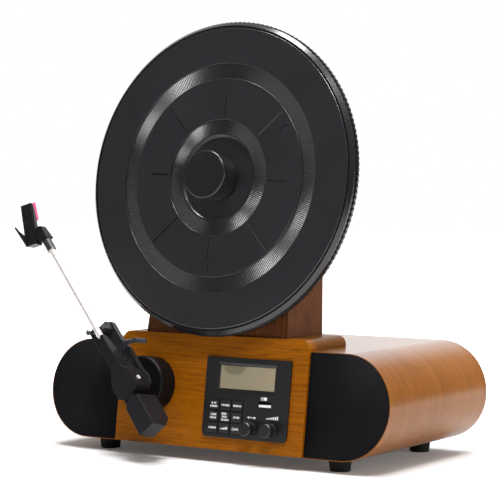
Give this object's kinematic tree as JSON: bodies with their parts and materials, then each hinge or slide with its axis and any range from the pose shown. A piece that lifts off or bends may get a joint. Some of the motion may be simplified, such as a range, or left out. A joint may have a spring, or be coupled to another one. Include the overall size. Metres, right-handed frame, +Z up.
{
  "type": "vertical record player",
  "caption": "Vertical belt-drive record player: leaning wooden console and rounded pillar carry a platter, tonearm and control panel over a racetrack-shaped speaker cabinet.",
  "frame": {"origin": "on the desk, under the middle of the cabinet's width and depth", "axes": "+X to the right seen from the front, +Y to the back, +Z up; the player stands as it does on a desk"},
  "size_m": [0.3698, 0.237, 0.3811],
  "materials": {
    "cabinet_wood": "satin",
    "pillar_wood": "satin",
    "raw_board": "matte",
    "black_board": "matte",
    "grille_cloth": "woven",
    "rubber": "matte",
    "screw_steel": "satin",
    "black_metal": "satin",
    "cone_paper": "matte",
    "black_plastic": "satin",
    "gloss_black": "gloss",
    "key_black": "satin",
    "circuit_board": "gloss",
    "cast_alloy": "cast",
    "bronze": "sintered",
    "pale_plastic": "satin",
    "platter_black": "satin",
    "mat_rubber": "moulded",
    "spindle_steel": "polished",
    "display": "gloss",
    "arm_black": "satin",
    "weight_black": "satin",
    "bracket_metal": "satin",
    "tube_chrome": "polished",
    "cartridge_grey": "satin",
    "stylus_pink": "gloss"
  },
  "bodies": {
    "cabinet": {"cabinet_shell": "cabinet_wood", "rear_panel": "black_board", "rubber_feet": "rubber", "foot_screws": "screw_steel", "speaker_baffles": "raw_board", "grille_frames": "black_board", "grille_cloths": "grille_cloth", "speaker_frames": "black_metal", "speaker_cones": "cone_paper", "speaker_screws": "screw_steel", "console_body": "cabinet_wood", "pillar_shell": "pillar_wood", "pillar_cover": "black_board", "wood_screws": "screw_steel", "rear_jacks": "black_plastic", "amplifier_board": "circuit_board", "bearing_housing": "cast_alloy", "bearing_bushes": "bronze", "drive_motor": "screw_steel", "drive_screws": "screw_steel", "drive_belt": "rubber", "control_bezel": "gloss_black", "lcd_window": "display", "lcd_module": "pale_plastic", "control_board": "circuit_board", "usb_socket": "pale_plastic", "tune_encoder": "cast_alloy", "volume_control": "cast_alloy", "arm_base": "arm_black", "rest_bracket": "bracket_metal"},
    "platter": {"platter_disc": "platter_black", "platter_mat": "mat_rubber", "mat_plugs": "black_plastic", "spindle": "spindle_steel", "spindle_clip": "screw_steel"},
    "clamp": {"record_clamp": "arm_black", "clamp_pad": "rubber"},
    "motor_rotor": {"motor_pulley": "pale_plastic"},
    "tuning_knob": {"tune_knob": "gloss_black"},
    "loudness_knob": {"volume_knob": "gloss_black"},
    "arm_yoke": {"arm_turret": "arm_black"},
    "arm": {"arm_housing": "arm_black", "arm_tube": "tube_chrome", "headshell": "arm_black", "cartridge": "cartridge_grey", "stylus": "stylus_pink", "counterweight": "weight_black", "arm_pivot_screws": "screw_steel"},
    "latch": {"rest_latch": "black_plastic"},
    "cue_handle": {"cue_lever": "gloss_black"},
    "cue_plunger": {"cue_pin": "screw_steel"},
    "button_1": {"key_1": "key_black"},
    "button_2": {"key_2": "key_black"},
    "button_3": {"key_3": "key_black"},
    "button_4": {"key_4": "key_black"},
    "button_5": {"key_5": "key_black"},
    "button_6": {"key_6": "key_black"},
    "button_7": {"key_7": "key_black"},
    "button_8": {"key_8": "key_black"},
    "button_9": {"key_9": "key_black"}
  },
  "joints": [
    {"name": "platter_spin", "type": "hinge", "parent": "cabinet", "child": "platter", "pos_m": [0, -0.05651, 0.24219], "axis": [0, -0.9903, 0.1392], "continuous": true},
    {"name": "motor_spin", "type": "hinge", "parent": "cabinet", "child": "motor_rotor", "pos_m": [0, -0.06709, 0.16693], "axis": [0, -0.9903, 0.1392], "continuous": true},
    {"name": "clamp_pull", "type": "slide", "parent": "platter", "child": "clamp", "axis": [0, -0.9903, 0.1392], "range_m": [0, 0.0182]},
    {"name": "tuning_turn", "type": "hinge", "parent": "cabinet", "child": "tuning_knob", "pos_m": [0.0471, -0.0912, 0.0313], "axis": [0, -0.9903, 0.1392], "continuous": true},
    {"name": "loudness_turn", "type": "hinge", "parent": "cabinet", "child": "loudness_knob", "pos_m": [0.0675, -0.0912, 0.0313], "axis": [0, -0.9903, 0.1392], "range_deg": [-150, 150]},
    {"name": "arm_swing", "type": "hinge", "parent": "cabinet", "child": "arm_yoke", "pos_m": [-0.061, -0.10157, 0.06528], "axis": [0, 0.9903, -0.1392], "range_deg": [0, 45]},
    {"name": "arm_lift", "type": "hinge", "parent": "arm_yoke", "child": "arm", "pos_m": [-0.05775, -0.12388, 0.06457], "axis": [0.7604, 0.0904, 0.6431], "range_deg": [-4.8, 8]},
    {"name": "latch_turn", "type": "hinge", "parent": "cabinet", "child": "latch", "pos_m": [-0.10186, -0.11522, 0.10898], "axis": [-0.6494, 0.1058, 0.753], "range_deg": [0, 25]},
    {"name": "cue_turn", "type": "hinge", "parent": "cabinet", "child": "cue_handle", "pos_m": [-0.07635, -0.10577, 0.09645], "axis": [0, -0.9903, 0.1392], "range_deg": [0, 45]},
    {"name": "cue_rise", "type": "slide", "parent": "cabinet", "child": "cue_plunger", "axis": [0, -0.9903, 0.1392], "range_m": [0, 0.0023]},
    {"name": "button_1_press", "type": "slide", "parent": "cabinet", "child": "button_1", "axis": [0, 0.9903, -0.1392], "range_m": [0, 0.0012], "stiffness_N_per_m": 400, "springref_m": -0.0006},
    {"name": "button_2_press", "type": "slide", "parent": "cabinet", "child": "button_2", "axis": [0, 0.9903, -0.1392], "range_m": [0, 0.0012], "stiffness_N_per_m": 400, "springref_m": -0.0006},
    {"name": "button_3_press", "type": "slide", "parent": "cabinet", "child": "button_3", "axis": [0, 0.9903, -0.1392], "range_m": [0, 0.0012], "stiffness_N_per_m": 400, "springref_m": -0.0006},
    {"name": "button_4_press", "type": "slide", "parent": "cabinet", "child": "button_4", "axis": [0, 0.9903, -0.1392], "range_m": [0, 0.0012], "stiffness_N_per_m": 400, "springref_m": -0.0006},
    {"name": "button_5_press", "type": "slide", "parent": "cabinet", "child": "button_5", "axis": [0, 0.9903, -0.1392], "range_m": [0, 0.0012], "stiffness_N_per_m": 400, "springref_m": -0.0006},
    {"name": "button_6_press", "type": "slide", "parent": "cabinet", "child": "button_6", "axis": [0, 0.9903, -0.1392], "range_m": [0, 0.0012], "stiffness_N_per_m": 400, "springref_m": -0.0006},
    {"name": "button_7_press", "type": "slide", "parent": "cabinet", "child": "button_7", "axis": [0, 0.9903, -0.1392], "range_m": [0, 0.0012], "stiffness_N_per_m": 400, "springref_m": -0.0006},
    {"name": "button_8_press", "type": "slide", "parent": "cabinet", "child": "button_8", "axis": [0, 0.9903, -0.1392], "range_m": [0, 0.0012], "stiffness_N_per_m": 400, "springref_m": -0.0006},
    {"name": "button_9_press", "type": "slide", "parent": "cabinet", "child": "button_9", "axis": [0, 0.9903, -0.1392], "range_m": [0, 0.0012], "stiffness_N_per_m": 400, "springref_m": -0.0006}
  ],
  "couplings": [
    {"joint": "motor_spin", "follows": "platter_spin", "ratio": 9.0625},
    {"joint": "cue_turn", "follows": "cue_rise", "rad_per_m": 341.48}
  ]
}
